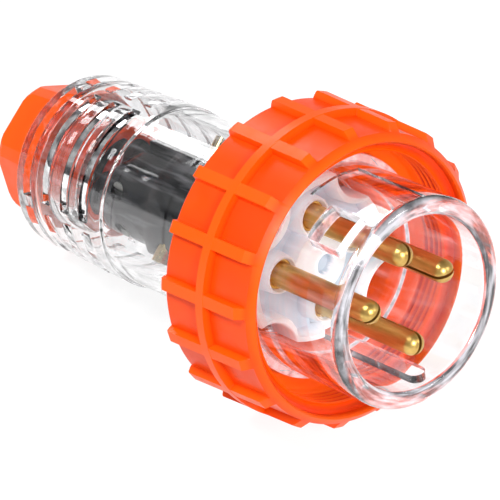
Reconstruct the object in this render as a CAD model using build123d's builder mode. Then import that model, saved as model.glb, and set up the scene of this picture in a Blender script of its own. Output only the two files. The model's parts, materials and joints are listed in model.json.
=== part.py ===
"""Four-pin industrial plug with a clear housing, an orange locking ring and an orange cable gland.

The plug lies along X: its pins point to +X, its cable end to -X, and its keyway is at -Z.
The origin is on the axis, in the plane of the locking ring's front face. Sizes are in millimetres.
"""
import os
from math import cos, radians, sin, sqrt

from build123d import *

os.makedirs("parts", exist_ok=True)

# Clearances between pieces
ring_clearance = 0.35
nut_clearance = 0.3
seat_clearance = 0.1
carrier_clearance = 0.8

# Shroud
shroud_radius = 25.6
shroud_wall = 4.4
shroud_bore = shroud_radius - shroud_wall
rim_x = 18.3
rim_round = 1.1
rim_chamfer = 0.7
flange_radius = shroud_radius + 1.7
flange_front_x = -11.5
neck_radius = shroud_bore - 1.0
neck_bore = neck_radius - 2.8
neck_length = 9.0
panel_half_angle = 17.0
panel_depth = 0.4
panel_front_x = rim_x - 1.9
panel_rear_x = -6.0
window_angle = 119.0
window_width = 9.6
window_front_x = 11.6
window_rear_x = 1.4
window_corner = 0.5
key_width = 4.6
key_height = 2.1
key_front_x = rim_x - 2.1

# Contact pins: two lie above the middle, one at the top and the earth pin at the bottom
pin_radius = 2.85
pin_inset = 9.5
pin_circle = shroud_bore - pin_inset
pin_angles = (10.5, 90, 169.5, 270)
pin_slot_angles = (13, 63, 43, 63)
pin_tip_x = rim_x - 1.4
pin_slot_width = 0.8
pin_slot_length = 25.0
pin_collar_radius = pin_radius + 0.7
barrel_radius = 4.0
barrel_front_x = -45.0
barrel_bore_radius = barrel_radius - 1.6
barrel_bore_depth = 12.0

# Locking ring
ring_length = 28.4
ring_bore = shroud_radius + 5.0
ring_radius = ring_bore + 5.4
ring_front_radius = ring_radius - 0.8
ring_bevel_depth = 1.6
ring_land_radius = ring_bore + 2.4
ring_mouth_radius = ring_land_radius + 0.5
ring_mouth_chamfer = 0.5
ring_land_depth = 2.4
ring_land_step = 0.8
ring_lead = 1.7
ring_shoulder_x = -13.0
ring_shoulder_length = 4.0
ring_web = 3.05
ring_core_depth = 9.0
ring_skin = 2.7
flange_rear_x = -ring_length + ring_web + ring_clearance
rib_count = 17
rib_width = 2.8
rib_height = 2.0
rib_phase = 20.4
rib_chamfer_length = 2.0
rib_rear_chamfer = 0.6
band_x = -15.0
band_width = 2.7
band_top = ring_radius + 1.6

# Handle body
handle_radius = neck_radius + 1.9
handle_bore = handle_radius - 2.4
handle_rear_x = -100.4
handle_wall = 6.0
grip_front_x = -67.7
grip_front_flange = 5.3
grip_radius = handle_radius + 0.6
grip_rear_radius = handle_radius - 0.3
groove_count = 4
groove_width = 3.0
groove_pitch = 7.2
groove_depth = 1.6
groove_deepening = 0.2
axial_rib_width = 3.2
collar_lip = 2.4

# Cable gland
cable_radius = 8.0
grommet_wall = 2.2
grommet_length = 12.0
stem_radius = cable_radius + grommet_wall + 2.2
stem_reach = 16.4
stem_front_x = handle_rear_x + stem_reach
nut_front_x = handle_rear_x - 0.5
nut_length = 13.6
nut_wall = 5.6
nut_radius = stem_radius + nut_wall
nut_flat = nut_radius - 1.0
nut_turn = 38.5
nut_taper = 1.2
nut_bevel = 1.8
washer_thickness = 1.2

# Pin carrier at the front
carrier_radius = shroud_bore - carrier_clearance
carrier_thickness = 7.0
carrier_seat_wall = 2.6
carrier_front_x = flange_rear_x + carrier_seat_wall + carrier_thickness
carrier_rim = 1.8
boss_radius = pin_collar_radius + 1.0
boss_height = 2.0
hub_radius = 4.8
web_radius = hub_radius + 3.2
hub_height = boss_height + 1.8
scallop_radius = 9.0
scallop_depth = 3.6
pocket_depth = 3.0
carrier_screw_radius = 1.5
carrier_screw_head = 2.3
carrier_screw_seat = 4.6
carrier_screw_length = 14.0

# Terminal block behind the carrier, and its screws
block_radius = neck_bore - carrier_clearance
block_half_thickness = block_radius - 2.4
block_rear_x = -58.4
barrel_rear_x = block_rear_x + 0.6
terminal_side = 225
terminal_screw_radius = barrel_bore_radius
terminal_screw_slot = 0.8
terminal_screw_x = -51.6

# Cord clamp
saddle_length = 7.0
saddle_gap = 1.5
clamp_rear_x = stem_front_x + saddle_gap + saddle_length
clamp_inset = 4.6
clamp_wall = 3.8
clamp_outer = block_radius - clamp_inset
clamp_inner = clamp_outer - clamp_wall
clamp_facing = 180
clamp_base_rise = 2.0
saddle_rear_x = clamp_rear_x - saddle_length
saddle_bulge = 0.8
saddle_half_width = clamp_outer - 1.6
clamp_screw_radius = 1.3
clamp_screw_head = 2.1
clamp_screw_inset = 9.5
clamp_screw_spacing = saddle_half_width
clamp_screw_thickness = 0.8

# Body seal
seal_section = 1.1


def facing(angle, height=0.0):
    """Plane parallel to the plug's axis whose normal points outwards at an angle from +Y."""
    outwards = Vector(0, cos(radians(angle)), sin(radians(angle)))
    return Plane(origin=outwards * height, x_dir=(1, 0, 0), z_dir=outwards)


def across(x):
    """Plane across the plug's axis, with Y to its right and Z up."""
    return Plane.YZ.offset(x)


def polar(radius, angle):
    """Point at a radius and an angle from +Y in a plane across the axis."""
    return (radius * cos(radians(angle)), radius * sin(radians(angle)))


def save(name, builder):
    """Label a finished piece and write it."""
    builder.part.label = name
    export_step(builder.part, f"parts/{name}.step")


# Clear shroud: a stepped tube with a neck that enters the handle
carrier_rear_x = carrier_front_x - carrier_thickness
neck_rear_x = flange_rear_x - neck_length
seal_x = (flange_rear_x + neck_rear_x) / 2
with BuildPart() as shroud:
    with BuildSketch(Plane.XY):
        with BuildLine():
            Polyline(
                (neck_rear_x, neck_bore),
                (carrier_rear_x, neck_bore),
                (carrier_rear_x, shroud_bore),
                (rim_x - rim_chamfer, shroud_bore),
                (rim_x, shroud_bore + rim_chamfer),
                (rim_x, shroud_radius - rim_round),
            )
            TangentArc((rim_x, shroud_radius - rim_round), (rim_x - rim_round, shroud_radius), tangent=(0, 1))
            Polyline(
                (rim_x - rim_round, shroud_radius),
                (flange_front_x, shroud_radius),
                (flange_front_x, flange_radius),
                (flange_rear_x, flange_radius),
                (flange_rear_x, neck_radius),
                (neck_rear_x, neck_radius),
                (neck_rear_x, neck_bore),
            )
        make_face()
    revolve(axis=Axis.X)
    # Groove for the seal round the neck
    with BuildSketch(Plane.XZ):
        with Locations((seal_x, neck_radius)):
            Rectangle(2 * seal_section, 2 * seal_section)
    revolve(axis=Axis.X, mode=Mode.SUBTRACT)
    # Shallow panel sunk into the top of the tube
    with BuildSketch(across(panel_rear_x)):
        Circle(shroud_radius + 1)
        Circle(shroud_radius - panel_depth, mode=Mode.SUBTRACT)
        with BuildLine():
            reach = shroud_radius * 2
            Polyline(
                (0, 0),
                polar(reach, 90 - panel_half_angle),
                polar(reach, 90 + panel_half_angle),
                (0, 0),
            )
        make_face(mode=Mode.INTERSECT)
    extrude(amount=panel_front_x - panel_rear_x, mode=Mode.SUBTRACT)
    # Window through the wall beside the panel
    with BuildSketch(facing(window_angle)):
        with Locations(((window_front_x + window_rear_x) / 2, 0)):
            RectangleRounded(window_front_x - window_rear_x, window_width, window_corner)
    extrude(amount=shroud_radius + 1, mode=Mode.SUBTRACT)
    # Polarising key along the bottom of the bore, with a rounded front end
    with BuildSketch(facing(270, shroud_bore - key_height)):
        with Locations(((carrier_rear_x + key_front_x) / 2, 0)):
            SlotOverall(key_front_x - carrier_rear_x, key_width)
        with Locations((carrier_rear_x + key_width / 2, 0)):
            Rectangle(key_width, key_width)
    extrude(amount=key_height + 0.5)
save("shroud", shroud)

# Seal round the neck
with BuildPart() as body_seal:
    with BuildSketch(Plane.XZ):
        with Locations((seal_x, neck_radius + seat_clearance / 2)):
            Circle(seal_section)
    revolve(axis=Axis.X)
    with BuildSketch(Plane.XZ):
        with Locations((seal_x, neck_radius + seat_clearance + seal_section)):
            Rectangle(4 * seal_section, 2 * seal_section)
    revolve(axis=Axis.X, mode=Mode.SUBTRACT)
save("body_seal", body_seal)

# Locking ring: grip ribs outside, a round shoulder and a web inside that bears on the flange
ring_web_bore = handle_radius + ring_clearance
ring_web_x = flange_rear_x - ring_clearance
shoulder_radius = flange_radius + ring_clearance
rib_top = ring_radius + rib_height
rib_front_top = ring_front_radius + rib_height
rib_front_x = -ring_bevel_depth - rib_chamfer_length
core_outer = ring_radius - ring_skin
with BuildPart() as locking_ring:
    with BuildSketch(Plane.XZ):
        with BuildLine():
            Polyline(
                (-ring_length, ring_web_bore),
                (ring_web_x, ring_web_bore),
                (ring_web_x, shoulder_radius),
                (ring_shoulder_x - ring_shoulder_length, shoulder_radius),
            )
            Spline(
                (ring_shoulder_x - ring_shoulder_length, shoulder_radius),
                (ring_shoulder_x, ring_bore),
                tangents=((1, 0), (1, 0)),
            )
            Polyline(
                (ring_shoulder_x, ring_bore),
                (-ring_land_depth - ring_lead, ring_bore),
                (-ring_land_depth, ring_land_radius - ring_land_step),
                (-ring_land_depth, ring_land_radius),
                (-ring_mouth_chamfer, ring_land_radius),
                (0, ring_mouth_radius),
                (-ring_bevel_depth, ring_front_radius),
                (-ring_length, ring_radius),
                (-ring_length, core_outer),
                (-ring_length + ring_core_depth, core_outer),
                (-ring_length + ring_core_depth, ring_bore),
                (-ring_length, ring_bore),
                (-ring_length, ring_web_bore),
            )
        make_face()
    revolve(axis=Axis.X)
    # Band round the middle of the grip
    rib_root = ring_front_radius - 1
    with BuildSketch(Plane.XZ):
        with Locations((band_x, (rib_root + band_top) / 2)):
            Rectangle(band_width, band_top - rib_root)
    revolve(axis=Axis.X)
    with BuildSketch(across(-ring_length)):
        with PolarLocations((rib_root + rib_top) / 2, rib_count, start_angle=rib_phase):
            Rectangle(rib_top - rib_root, rib_width)
    extrude(amount=ring_length)
    # Envelope that slopes the ribs' front ends and tops and eases their rear ends
    with BuildSketch(Plane.XZ):
        with BuildLine():
            Polyline(
                (-ring_length, 0),
                (0, 0),
                (0, ring_mouth_radius),
                (-ring_bevel_depth, ring_front_radius),
                (rib_front_x, rib_front_top),
                (-ring_length + rib_rear_chamfer, rib_top),
                (-ring_length, rib_top - rib_rear_chamfer),
                (-ring_length, 0),
            )
        make_face()
    revolve(axis=Axis.X, mode=Mode.INTERSECT)
save("locking_ring", locking_ring)

# Handle: a clear shell with a windowed grip and a collar for the gland
handle_front_x = flange_rear_x
collar_bore = stem_radius + nut_clearance
with BuildPart() as handle_body:
    with BuildSketch(Plane.XZ):
        with BuildLine():
            Polyline(
                (handle_front_x, neck_radius + seat_clearance),
                (handle_front_x, handle_radius),
                (grip_front_x, handle_radius),
                (grip_front_x, grip_radius),
                (grip_front_x - grip_front_flange, grip_radius),
                (handle_rear_x + rim_chamfer, grip_rear_radius),
                (handle_rear_x, grip_rear_radius - rim_chamfer),
                (handle_rear_x, collar_bore),
                (stem_front_x, collar_bore),
                (stem_front_x, collar_bore + collar_lip),
                (handle_rear_x + handle_wall, collar_bore + collar_lip + 0.8),
                (handle_rear_x + handle_wall, handle_bore),
                (neck_rear_x - seat_clearance, handle_bore),
                (neck_rear_x - seat_clearance, neck_radius + seat_clearance),
                (handle_front_x, neck_radius + seat_clearance),
            )
        make_face()
    revolve(axis=Axis.X)
    # Rows of recessed windows, divided by ribs along the grip
    for row in range(groove_count):
        groove_front_x = grip_front_x - grip_front_flange - row * groove_pitch
        with BuildSketch(across(groove_front_x)):
            Circle(grip_radius + 1)
            Circle(grip_radius - groove_depth - row * groove_deepening, mode=Mode.SUBTRACT)
            with PolarLocations(grip_radius, 4):
                Rectangle(8 * groove_depth, axial_rib_width, mode=Mode.SUBTRACT)
        extrude(amount=-groove_width, mode=Mode.SUBTRACT)
save("handle_body", handle_body)

# Gland nut: a threaded stem, and a hexagonal head with turned corners that narrows to the cable
nut_rear_x = nut_front_x - nut_length
with BuildPart() as gland_nut:
    with BuildSketch(across(nut_front_x)):
        RegularPolygon(nut_flat, 6, major_radius=False, rotation=nut_turn)
    with BuildSketch(across(nut_rear_x)):
        RegularPolygon(nut_flat - nut_taper, 6, major_radius=False, rotation=nut_turn)
    loft()
    with BuildSketch(Plane.XZ):
        with BuildLine():
            Polyline(
                (nut_rear_x, 0),
                (nut_front_x, 0),
                (nut_front_x, nut_radius - nut_bevel / 2),
                (nut_front_x - nut_bevel, nut_radius),
                (nut_rear_x + nut_bevel, nut_radius - nut_taper),
                (nut_rear_x, nut_radius - nut_taper - nut_bevel),
                (nut_rear_x, 0),
            )
        make_face()
    revolve(axis=Axis.X, mode=Mode.INTERSECT)
    with BuildSketch(across(nut_front_x)):
        Circle(stem_radius)
    extrude(amount=stem_front_x - nut_front_x)
    with BuildSketch(across(nut_rear_x)):
        Circle(cable_radius)
    extrude(amount=stem_front_x - nut_rear_x, mode=Mode.SUBTRACT)
    with BuildSketch(across(stem_front_x)):
        Circle(cable_radius + grommet_wall)
    extrude(amount=-grommet_length - washer_thickness, mode=Mode.SUBTRACT)
save("gland_nut", gland_nut)

# Rubber grommet and its thrust washer inside the stem
with BuildPart() as cable_grommet:
    with BuildSketch(across(stem_front_x)):
        Circle(cable_radius + grommet_wall - seat_clearance)
        Circle(cable_radius, mode=Mode.SUBTRACT)
    extrude(amount=-grommet_length)
save("cable_grommet", cable_grommet)

with BuildPart() as thrust_washer:
    with BuildSketch(across(stem_front_x - grommet_length)):
        Circle(cable_radius + grommet_wall - seat_clearance)
        Circle(cable_radius, mode=Mode.SUBTRACT)
    extrude(amount=-washer_thickness)
save("thrust_washer", thrust_washer)

# White pin carrier: bosses round the pins, pockets between them, and a hub for the centre screw
hole_radius = pin_collar_radius + seat_clearance
boss_front_x = carrier_front_x + boss_height
hub_front_x = carrier_front_x + hub_height
pin_places = [polar(pin_circle, angle) for angle in pin_angles]
next_angles = pin_angles[1:] + (pin_angles[0] + 360,)
between = [(angle + later) / 2 for angle, later in zip(pin_angles, next_angles)]
with BuildSketch() as carrier_outline:
    Circle(carrier_radius)
    for angle in between:
        with Locations(polar(carrier_radius + scallop_radius - scallop_depth, angle)):
            Circle(scallop_radius, mode=Mode.SUBTRACT)
    with Locations(polar(carrier_radius, 270)):
        Rectangle(key_width + 4 * seat_clearance, 2 * key_height, mode=Mode.SUBTRACT)
with BuildPart() as pin_carrier:
    with BuildSketch(across(carrier_rear_x)):
        add(carrier_outline.sketch)
    extrude(amount=boss_front_x - carrier_rear_x)
    # Pockets inside the rim, which leave a boss round each pin and the hub
    with BuildSketch(across(boss_front_x)):
        add(carrier_outline.sketch)
        offset(amount=-carrier_rim)
        with Locations(pin_places):
            Circle(boss_radius, mode=Mode.SUBTRACT)
        Circle(web_radius, mode=Mode.SUBTRACT)
    extrude(amount=-boss_height - pocket_depth, mode=Mode.SUBTRACT)
    with BuildSketch(across(boss_front_x)):
        Circle(hub_radius)
    extrude(amount=hub_front_x - boss_front_x)
    with BuildSketch(across(carrier_rear_x)):
        with Locations(pin_places):
            Circle(hole_radius)
        Circle(carrier_screw_radius + seat_clearance)
    extrude(amount=hub_front_x - carrier_rear_x, mode=Mode.SUBTRACT)
    with BuildSketch(across(hub_front_x)):
        Circle(carrier_screw_head + seat_clearance)
    extrude(amount=-carrier_screw_seat, mode=Mode.SUBTRACT)
save("pin_carrier", pin_carrier)

# Centre screw that holds the carrier to the terminal block
screw_seat_x = hub_front_x - carrier_screw_seat
with BuildPart() as carrier_screw:
    with BuildSketch(across(screw_seat_x)):
        Circle(carrier_screw_head)
    extrude(amount=carrier_screw_seat / 2)
    with BuildSketch(across(screw_seat_x)):
        Circle(carrier_screw_radius)
    extrude(amount=-carrier_screw_length)
    with BuildSketch(across(screw_seat_x + carrier_screw_seat / 2)):
        Rectangle(2 * carrier_screw_head, pin_slot_width)
    extrude(amount=-terminal_screw_slot, mode=Mode.SUBTRACT)
save("carrier_screw", carrier_screw)

# Terminals: each pin's screw faces the nearer flat side of the block, at a height and a sideways shift
terminals = []
for angle in pin_angles:
    side = terminal_side if 90 < angle <= 270 else terminal_side - 180
    height = pin_circle * cos(radians(angle - side))
    shift = pin_circle * sin(radians(side - angle))
    edge = abs(shift) + terminal_screw_radius
    reach = sqrt((handle_bore - ring_clearance) ** 2 - edge**2)
    terminals.append((angle, side, height, shift, reach))

# Dark terminal block: flat on the two sides where the terminal screws are reached
with BuildPart() as terminal_block:
    with BuildSketch(across(carrier_rear_x)):
        Circle(block_radius)
        Rectangle(2 * block_half_thickness, 2 * block_radius, rotation=terminal_side, mode=Mode.INTERSECT)
        with Locations(pin_places):
            Circle(hole_radius, mode=Mode.SUBTRACT)
    extrude(amount=block_rear_x - carrier_rear_x)
    with BuildSketch(across(block_rear_x)):
        with Locations(pin_places):
            Circle(barrel_radius + seat_clearance)
    extrude(amount=barrel_front_x - block_rear_x, mode=Mode.SUBTRACT)
    with BuildSketch(across(carrier_rear_x)):
        Circle(carrier_screw_radius + seat_clearance)
    extrude(amount=-carrier_screw_length, mode=Mode.SUBTRACT)
    for _, side, height, shift, _ in terminals:
        with BuildSketch(facing(side, height)):
            with Locations((terminal_screw_x, shift)):
                Circle(terminal_screw_radius + seat_clearance)
        extrude(amount=block_radius, mode=Mode.SUBTRACT)
save("terminal_block", terminal_block)

# Contact pins, each with a saw slot in its nose, a collar and a barrel terminal at the rear
pin_nose_x = pin_tip_x - pin_radius
for number, (slot_angle, terminal) in enumerate(zip(pin_slot_angles, terminals), start=1):
    angle, side, height, shift, reach = terminal
    with BuildPart() as contact_pin:
        with BuildSketch(Plane.XY):
            with BuildLine():
                Polyline(
                    (barrel_rear_x, 0),
                    (barrel_rear_x, barrel_radius),
                    (barrel_front_x, barrel_radius),
                    (barrel_front_x, pin_collar_radius),
                    (boss_front_x - 1, pin_collar_radius),
                    (boss_front_x - 1, pin_radius),
                    (pin_nose_x, pin_radius),
                )
                TangentArc((pin_nose_x, pin_radius), (pin_tip_x, 0), tangent=(1, 0))
                Line((pin_tip_x, 0), (barrel_rear_x, 0))
            make_face()
        revolve(axis=Axis.X)
        with BuildSketch(across(barrel_rear_x)):
            Circle(barrel_bore_radius)
        extrude(amount=barrel_bore_depth, mode=Mode.SUBTRACT)
        with BuildSketch(facing(slot_angle)):
            with Locations((pin_tip_x - pin_slot_length / 2, 0)):
                Rectangle(pin_slot_length, 2 * pin_radius)
            with Locations((pin_tip_x - pin_slot_length / 2, 0)):
                Rectangle(pin_slot_length, pin_slot_width, mode=Mode.INTERSECT)
        extrude(amount=pin_radius + 1, both=True, mode=Mode.SUBTRACT)
        with BuildSketch(facing(side)):
            with Locations((terminal_screw_x, 0)):
                Circle(terminal_screw_radius)
        extrude(amount=barrel_radius + 1, mode=Mode.SUBTRACT)
    y, z = polar(pin_circle, angle)
    contact_pin.part.position = (0, y, z)
    save(f"pin_{number}", contact_pin)

    # Clamping screw of this terminal
    screw_foot = height + barrel_bore_radius * 0.4
    with BuildPart() as terminal_screw:
        with BuildSketch(facing(side, screw_foot)):
            with Locations((terminal_screw_x, shift)):
                Circle(terminal_screw_radius - seat_clearance)
        extrude(amount=reach - screw_foot)
        with BuildSketch(facing(side, reach)):
            with Locations((terminal_screw_x, shift)):
                Rectangle(2 * terminal_screw_radius, terminal_screw_slot)
        extrude(amount=-terminal_screw_slot, mode=Mode.SUBTRACT)
    save(f"terminal_screw_{number}", terminal_screw)

# Cord clamp: a half-round base behind the block, and a tongue-shaped saddle that faces it
with BuildPart() as clamp_base:
    with BuildSketch(across(clamp_rear_x)):
        Circle(clamp_outer)
        Circle(clamp_inner, mode=Mode.SUBTRACT)
        with Locations(polar(clamp_outer - clamp_base_rise, clamp_facing)):
            Rectangle(2 * clamp_outer, 4 * clamp_outer, rotation=clamp_facing, mode=Mode.SUBTRACT)
    extrude(amount=block_rear_x - clamp_rear_x)
save("clamp_base", clamp_base)

saddle_front_x = block_rear_x - seat_clearance
saddle_outer = clamp_outer + saddle_bulge
saddle_centre_x = saddle_rear_x + saddle_half_width
clamp_screw_x = saddle_rear_x + clamp_screw_inset
clamp_screw_seat = sqrt(clamp_outer**2 - (clamp_screw_spacing / 2) ** 2) - clamp_screw_thickness
screw_pair = [(clamp_screw_x, -clamp_screw_spacing / 2), (clamp_screw_x, clamp_screw_spacing / 2)]
with BuildPart() as clamp_saddle:
    with BuildSketch(across(saddle_rear_x)):
        Circle(saddle_outer)
        Circle(clamp_inner, mode=Mode.SUBTRACT)
    extrude(amount=saddle_front_x - saddle_rear_x)
    # Plan outline: straight sides and a round tongue at the rear
    with BuildSketch(facing(clamp_facing, clamp_base_rise)):
        with Locations((saddle_centre_x, 0)):
            Circle(saddle_half_width)
        with Locations(((saddle_centre_x + saddle_front_x) / 2, 0)):
            Rectangle(saddle_front_x - saddle_centre_x, 2 * saddle_half_width)
    extrude(amount=saddle_outer, mode=Mode.INTERSECT)
    # Screw holes with sunk seats
    with BuildSketch(facing(clamp_facing)):
        with Locations(screw_pair):
            Circle(clamp_screw_radius + seat_clearance)
    extrude(amount=saddle_outer, mode=Mode.SUBTRACT)
    with BuildSketch(facing(clamp_facing, clamp_screw_seat)):
        with Locations(screw_pair):
            Circle(clamp_screw_head + seat_clearance)
    extrude(amount=saddle_outer, mode=Mode.SUBTRACT)
save("clamp_saddle", clamp_saddle)

for number, place in enumerate(screw_pair, start=1):
    with BuildPart() as clamp_screw:
        with BuildSketch(facing(clamp_facing, clamp_screw_seat)):
            with Locations(place):
                Circle(clamp_screw_radius)
        extrude(amount=clamp_inner - clamp_outer)
        with BuildSketch(facing(clamp_facing, clamp_screw_seat)):
            with Locations(place):
                Circle(clamp_screw_head)
        extrude(amount=clamp_screw_thickness)
        with BuildSketch(facing(clamp_facing, clamp_screw_seat + clamp_screw_thickness)):
            with Locations(place):
                Rectangle(2 * clamp_screw_head, terminal_screw_slot)
        extrude(amount=-clamp_screw_thickness / 2, mode=Mode.SUBTRACT)
    save(f"clamp_screw_{number}", clamp_screw)
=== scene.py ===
"""Looks of a four-pin industrial plug with a clear housing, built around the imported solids.

Lengths in this file are in millimetres until a mesh is made, where they become metres. An angle round
the plug runs from +Y towards +Z, in degrees.
"""

import json
from math import asin, atan2, cos, degrees, pi, radians, sin

import bmesh
import bpy
import numpy as np
from bpy.props import FloatProperty, FloatVectorProperty, IntProperty, PointerProperty
from mathutils import Matrix, Vector


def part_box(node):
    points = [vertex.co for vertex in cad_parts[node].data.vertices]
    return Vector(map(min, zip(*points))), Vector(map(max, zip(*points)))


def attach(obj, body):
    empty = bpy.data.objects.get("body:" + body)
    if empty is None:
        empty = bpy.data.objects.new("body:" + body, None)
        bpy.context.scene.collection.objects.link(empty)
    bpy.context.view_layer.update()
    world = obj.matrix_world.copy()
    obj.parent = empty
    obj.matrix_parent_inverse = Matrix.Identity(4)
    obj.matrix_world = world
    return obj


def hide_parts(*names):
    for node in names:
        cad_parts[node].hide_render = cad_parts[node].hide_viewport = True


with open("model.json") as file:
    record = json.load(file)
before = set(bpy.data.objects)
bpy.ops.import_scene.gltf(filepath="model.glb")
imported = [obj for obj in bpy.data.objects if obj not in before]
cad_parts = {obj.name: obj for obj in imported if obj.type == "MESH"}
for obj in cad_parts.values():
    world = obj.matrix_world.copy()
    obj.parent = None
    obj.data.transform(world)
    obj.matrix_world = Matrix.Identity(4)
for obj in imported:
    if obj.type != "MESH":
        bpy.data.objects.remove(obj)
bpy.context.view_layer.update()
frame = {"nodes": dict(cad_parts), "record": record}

bl_info = {
    "name": "Industrial plug looks",
    "version": (1, 0, 0),
    "blender": (4, 5, 0),
    "location": "3D view, sidebar, Plug",
    "description": "Builds the surfaces, finishes, lights and camera of an industrial plug",
    "category": "Object",
}

MM = 0.001
FINISHES = {}  # material of each slot, filled by the first operator
AXIS = (1, 0, 0)  # the plug's axis


def node_span(node, axis):
    """Lowest and highest place of a solid along an axis, in millimetres."""
    low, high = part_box(node)
    return low[axis] / MM, high[axis] / MM


# Places read from the solids
SHROUD_REAR, RIM_X = node_span("shroud", 0)
RING_REAR, RING_FRONT = node_span("locking_ring", 0)
HANDLE_REAR, HANDLE_FRONT = node_span("handle_body", 0)
NUT_REAR, STEM_FRONT = node_span("gland_nut", 0)
CARRIER_REAR, HUB_FRONT = node_span("pin_carrier", 0)
PIN_REAR, PIN_TIP = node_span("pin_1", 0)
BLOCK_REAR, BLOCK_FRONT = node_span("terminal_block", 0)
SADDLE_REAR, SADDLE_FRONT = node_span("clamp_saddle", 0)

# Shroud
SHROUD_RADIUS = 25.6
SHROUD_BORE = 21.2
FLANGE_RADIUS = 27.3
FLANGE_FRONT = -11.5
FLANGE_REAR = -25.0
NECK_RADIUS = 20.2
NECK_BORE = 17.4
RIM_INNER_ROUND = 1.3
PANEL_HALF_ANGLE = 17.0
PANEL_FRONT = 16.4
PANEL_REAR = -6.0
WINDOW_ANGLE = 119.0
WINDOW_WIDTH = 9.6
WINDOW_FRONT = 11.6
WINDOW_REAR = 1.4
WINDOW_CUT = 15.0  # start of the window's cutter from the axis, and its height
KEY_WIDTH = 4.6
KEY_HEIGHT = 2.1
KEY_FRONT = 16.2
KEY_ANGLE = 270.0
# depth from the rim over which the clear plastic carries a painted glow
RIM_PAINTED_GLOW_DEPTH = 1.4

# Locking ring
RING_RADIUS = 36.0
RING_FRONT_RADIUS = 35.2
RING_BEVEL = 1.6
RING_MOUTH = 33.5
RING_LAND = 33.0
RING_LAND_DEPTH = 2.4
RING_BORE = 30.6
RING_WEB_X = -25.35
RING_WEB_BORE = 22.45
RING_SHOULDER = 27.65
SHOULDER_REAR = -17.0
SHOULDER_FRONT = -13.0
RIB_COUNT = 17
RIB_WIDTH = 2.8
RIB_PHASE = 20.4
RIB_CHAMFER = 2.0
BAND_X = -15.0
BAND_WIDTH = 2.7
BAND_TOP = 37.6
THREAD_FRONT = -3.2
THREAD_REAR = -11.0
PLAIN_ROWS_FRONT = -4.5
PLAIN_ROWS_REAR = -17.5
CORE_DEPTH = 9.0
CORE_INNER = 30.6
CORE_OUTER = 33.3
BORE_PAINTED_GLOW = 0.38  # strength of the painted light in the ring's bore, an emission brightest on the thread's crests

# Handle
HANDLE_RADIUS = 22.1
HANDLE_BORE = 19.7
HANDLE_WALL = 6.0
GRIP_FRONT = -67.7
GRIP_FLANGE = 5.3
GRIP_RADIUS = 22.7
GRIP_REAR_RADIUS = 21.8
GROOVE_COUNT = 4
GROOVE_WIDTH = 3.0
GROOVE_PITCH = 7.2
AXIAL_RIB_WIDTH = 3.2
COLLAR_BORE = 12.7
COLLAR_WALL = 2.4

# Gland
NUT_FRONT = -100.9
NUT_RADIUS = 18.0
NUT_FLAT = 16.4
NUT_TURN = 38.5
NUT_TAPER = 1.2
NUT_BEVEL = 1.8
NUT_CONE_SLOPE = 0.5
STEM_RADIUS = 12.4
STEM_THREAD = 0.45
CABLE_RADIUS = 8.0
GROMMET_RADIUS = 10.2
GROMMET_DEPTH = 13.2

# Pins
PIN_RADIUS = 2.85
PIN_CIRCLE = 11.7
PIN_ANGLES = (10.5, 90.0, 169.5, 270.0)
PIN_SLOT_ANGLES = (8.0, 66.0, 36.0, 66.0)
PIN_COLLAR = 3.55
PIN_SLOT_WIDTH = 0.8
PIN_SLOT_LENGTH = 25.0
BARREL_RADIUS = 4.0
BARREL_FRONT = -45.0
BARREL_BORE = 2.4
BARREL_DEPTH = 12.0
NEAR_AXIS = 0.02  # radius where a turned end closes, in place of a point

# Pin carrier
CARRIER_RADIUS = 20.4
BOSS_FRONT = -13.4
POCKET_FLOOR = -18.4
CARRIER_RIM = 1.8
BOSS_RADIUS = 4.5
HUB_RADIUS = 4.8
WEB_RADIUS = 8.0
SCALLOP_RADIUS = 9.0
SCALLOP_DEPTH = 3.6
HUB_HOLE = 2.4
HUB_HOLE_DEPTH = 2.2
PIN_RECESS = 1.6
CARRIER_EDGE = 0.35
CARRIER_PAINTED_GLOW = 0.16  # strength of the painted glow, an emission that brightens the white plastic all over though it is no lamp
POCKET_PAINTED_SHADE = (0.4, 0.48, 0.56)  # share of the white's red, green and blue left where shade is painted, in the pockets and the hub hole

# Terminal block and cord clamp
BLOCK_RADIUS = 16.6
BLOCK_HALF = 14.2
BLOCK_SIDE = 225.0
TERMINAL_HOLE_X = -51.6
TERMINAL_HOLE_RADIUS = 2.5
TERMINAL_HOLE_FLOOR = 8.0
SADDLE_OUTER = 12.8
SADDLE_INNER = 8.2
SADDLE_HALF_WIDTH = 10.4
SADDLE_FACING = 180.0
PLATE_ROUND = 0.6
CLAMP_SCREW_INSET = 9.5
CLAMP_SCREW_RADIUS = 2.2
CLAMP_SCREW_SEAT = 10.0

# Camera, worked out from the outlines of the plug's circles in the photograph
CAMERA_AZIMUTH = 52.08
CAMERA_ELEVATION = 28.77
CAMERA_ROLL = -8.14
CAMERA_DISTANCE = 1192.0
CAMERA_AIM = (-19.6, -16.6, 9.5)
CAMERA_LENS = 372.6
CAMERA_SENSOR = 36.0

# Stage
RING_REST = 38.0  # distance from the axis to the rib tops that the plug rests on
FLOOR_GAP = 0.1
FLOOR_HALF = 4000.0
LIGHTS = (  # name, place, size and power in watts
    ("key_light", (-100, -600, 1000), 300, 10.0),
    ("front_light", (900, -300, 420), 260, 8.0),
    ("side_light", (900, 500, 400), 260, 2.0),
    ("back_light", (-700, 300, 700), 300, 2.0),
)


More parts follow.
